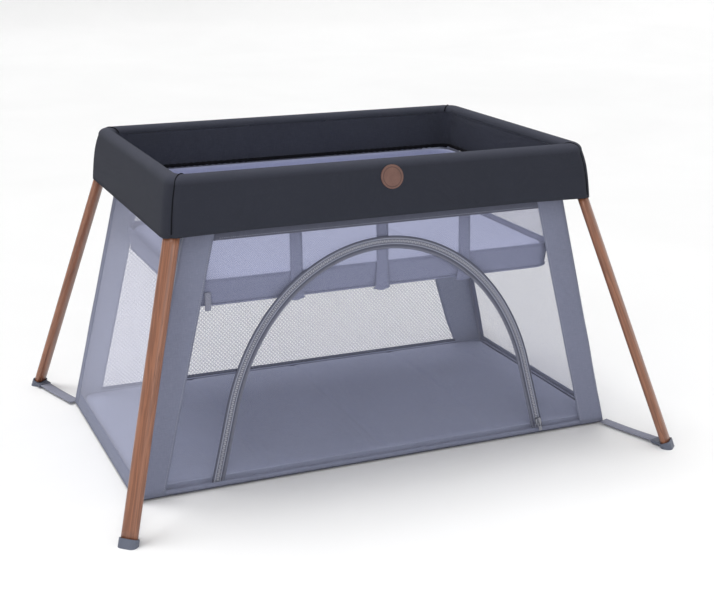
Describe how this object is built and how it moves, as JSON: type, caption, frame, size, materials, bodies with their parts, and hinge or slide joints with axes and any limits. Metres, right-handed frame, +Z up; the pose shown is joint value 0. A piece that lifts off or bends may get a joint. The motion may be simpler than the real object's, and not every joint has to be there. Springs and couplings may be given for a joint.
{
  "type": "playpen",
  "caption": "Folding rectangular travel playpen with padded rim, splayed wood-look legs, netting walls, an arch zip door, a floor mattress and a hanging bassinet insert.",
  "frame": {"origin": "centre of the footprint, on the floor under the feet", "axes": "+X along the long side, the zip door faces -Y, +Z up"},
  "size_m": [1.2276, 0.963, 0.65],
  "materials": {
    "charcoal_fabric": "matt padded knit over foam",
    "walnut": "satin lacquer",
    "grey_plastic": "moulded matt",
    "black_plastic": "moulded matt",
    "steel_tube": "drawn tube",
    "grey_webbing": "woven webbing",
    "zinc_alloy": "die cast",
    "zip_tape": "woven zip tape",
    "tan_leather": "smooth leather",
    "mattress_fabric": "plain weave",
    "bassinet_fabric": "soft plain weave",
    "grey_fabric": "plain weave",
    "netting": "see-through knitted netting"
  },
  "bodies": {
    "centre": {"front_hub": "black_plastic", "back_hub": "black_plastic", "front_left_hub_pin": "steel_tube", "front_right_hub_pin": "steel_tube", "back_left_hub_pin": "steel_tube", "back_right_hub_pin": "steel_tube", "front_cover_bridge": "charcoal_fabric", "back_cover_bridge": "charcoal_fabric", "rim_badge": "tan_leather", "tub_front_wall": "netting", "tub_back_wall": "netting", "tub_left_wall": "netting", "tub_right_wall": "netting", "tub_floor": "grey_fabric", "door_zip_track": "zip_tape", "floor_mattress": "mattress_fabric", "left_front_foot_strap": "grey_webbing", "left_back_foot_strap": "grey_webbing", "right_front_foot_strap": "grey_webbing", "right_back_foot_strap": "grey_webbing"},
    "left_half": {"left_end_rail": "steel_tube", "left_rim_cover": "charcoal_fabric", "left_front_rail": "steel_tube", "left_front_hinge_ear": "black_plastic", "left_front_corner_housing": "black_plastic", "left_front_leg_pin": "steel_tube", "left_back_rail": "steel_tube", "left_back_hinge_ear": "black_plastic", "left_back_corner_housing": "black_plastic", "left_back_leg_pin": "steel_tube"},
    "right_half": {"right_end_rail": "steel_tube", "right_rim_cover": "charcoal_fabric", "right_front_rail": "steel_tube", "right_front_hinge_ear": "black_plastic", "right_front_corner_housing": "black_plastic", "right_front_leg_pin": "steel_tube", "right_back_rail": "steel_tube", "right_back_hinge_ear": "black_plastic", "right_back_corner_housing": "black_plastic", "right_back_leg_pin": "steel_tube"},
    "left_front_leg": {"left_front_leg": "walnut", "left_front_leg_knuckle": "black_plastic", "left_front_foot_cap": "grey_plastic"},
    "left_back_leg": {"left_back_leg": "walnut", "left_back_leg_knuckle": "black_plastic", "left_back_foot_cap": "grey_plastic"},
    "right_front_leg": {"right_front_leg": "walnut", "right_front_leg_knuckle": "black_plastic", "right_front_foot_cap": "grey_plastic"},
    "right_back_leg": {"right_back_leg": "walnut", "right_back_leg_knuckle": "black_plastic", "right_back_foot_cap": "grey_plastic"},
    "door": {"door_flap": "netting"},
    "zip_slider": {"zip_slider": "zinc_alloy"},
    "zip_pull": {"zip_pull": "zinc_alloy"},
    "bassinet": {"bassinet_basket": "netting", "bassinet_pad": "bassinet_fabric"},
    "front_lock": {"front_lock_button": "grey_plastic"},
    "back_lock": {"back_lock_button": "grey_plastic"}
  },
  "joints": [
    {"name": "frame_fold", "type": "hinge", "parent": "centre", "child": "left_half", "pos_m": [-0.064, 0, 0.556], "axis": [0, -1, 0], "range_deg": [0, 90], "deforming": ["left_rim_cover", "right_rim_cover", "front_cover_bridge", "back_cover_bridge", "tub_front_wall", "tub_back_wall", "tub_left_wall", "tub_right_wall", "tub_floor", "door_zip_track", "door_flap", "floor_mattress", "bassinet_basket", "bassinet_pad", "left_front_foot_strap", "left_back_foot_strap", "right_front_foot_strap", "right_back_foot_strap"]},
    {"name": "right_half_fold", "type": "hinge", "parent": "centre", "child": "right_half", "pos_m": [0.064, 0, 0.556], "axis": [0, 1, 0], "range_deg": [0, 90]},
    {"name": "right_back_leg_fold", "type": "hinge", "parent": "right_half", "child": "right_back_leg", "pos_m": [0.43851, 0.29496, 0.57], "axis": [-0.9649, 0.1362, -0.2247], "range_deg": [0, 109.17]},
    {"name": "right_front_leg_fold", "type": "hinge", "parent": "right_half", "child": "right_front_leg", "pos_m": [0.43851, -0.29496, 0.57], "axis": [0.9619, -0.0266, 0.2719], "range_deg": [0, 101]},
    {"name": "left_front_leg_fold", "type": "hinge", "parent": "left_half", "child": "left_front_leg", "pos_m": [-0.43851, -0.29496, 0.57], "axis": [0.9649, -0.1362, -0.2247], "range_deg": [0, 109.17]},
    {"name": "left_back_leg_fold", "type": "hinge", "parent": "left_half", "child": "left_back_leg", "pos_m": [-0.43851, 0.29496, 0.57], "axis": [-0.9619, 0.0266, 0.2719], "range_deg": [0, 101]},
    {"name": "door_flap_open", "type": "hinge", "parent": "centre", "child": "door", "pos_m": [0, -0.29166, 0.01698], "axis": [1, 0, 0], "range_deg": [0, 88]},
    {"name": "zip_slide", "type": "slide", "parent": "centre", "child": "zip_slider", "axis": [-0.2372, 0.032, 0.9709], "range_m": [0, 0.11]},
    {"name": "zip_pull_swing", "type": "hinge", "parent": "zip_slider", "child": "zip_pull", "pos_m": [0.36885, -0.29986, 0.03023], "axis": [-0.9714, -0.0078, -0.2371], "range_deg": [0, 140]},
    {"name": "bassinet_lift", "type": "slide", "parent": "centre", "child": "bassinet", "axis": [0, 0, 1], "range_m": [0, 0.3]},
    {"name": "front_lock_press", "type": "slide", "parent": "centre", "child": "front_lock", "axis": [0, 0, 1], "range_m": [0, 0.004], "stiffness_N_per_m": 400},
    {"name": "back_lock_press", "type": "slide", "parent": "centre", "child": "back_lock", "axis": [0, 0, 1], "range_m": [0, 0.004], "stiffness_N_per_m": 400}
  ],
  "couplings": [
    {"joint": "right_half_fold", "follows": "frame_fold", "ratio": 1},
    {"joint": "right_back_leg_fold", "follows": "frame_fold", "ratio": 1.2129},
    {"joint": "right_front_leg_fold", "follows": "frame_fold", "ratio": 1.1222},
    {"joint": "left_front_leg_fold", "follows": "frame_fold", "ratio": 1.2129},
    {"joint": "left_back_leg_fold", "follows": "frame_fold", "ratio": 1.1222}
  ]
}
